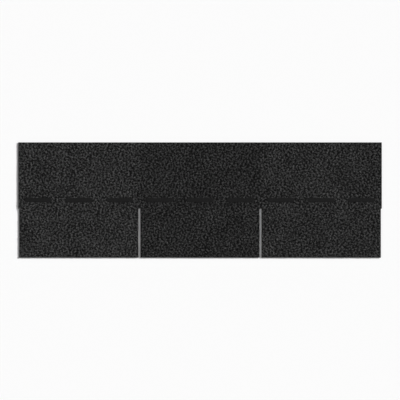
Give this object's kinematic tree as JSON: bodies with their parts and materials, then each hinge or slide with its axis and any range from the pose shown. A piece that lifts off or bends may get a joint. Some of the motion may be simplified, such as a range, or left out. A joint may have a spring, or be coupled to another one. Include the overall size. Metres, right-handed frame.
{
  "type": "three-tab asphalt shingle",
  "caption": "Flat roofing strip of granule-coated asphalt sheet, die-cut into tabs by narrow keyways, with adhesive dashes on its face and a release film on its back.",
  "frame": {"origin": "under the middle of the strip, on the plane it lies on", "axes": "+X along the strip and its course, -Y towards the butt edge of the tabs, +Y up the roof to the headlap edge, +Z out of the granule face"},
  "size_m": [1, 0.317, 0.0038],
  "materials": {
    "granule_sheet": "matte",
    "adhesive": "gloss",
    "clear_film": "satin"
  },
  "bodies": {
    "root": {"shingle_strip": "granule_sheet", "sealant_dash_1": "adhesive", "sealant_dash_2": "adhesive", "sealant_dash_3": "adhesive", "sealant_dash_4": "adhesive", "sealant_dash_5": "adhesive", "sealant_dash_6": "adhesive", "sealant_dash_7": "adhesive", "sealant_dash_8": "adhesive", "sealant_dash_9": "adhesive", "release_film": "clear_film"}
  },
  "joints": []
}
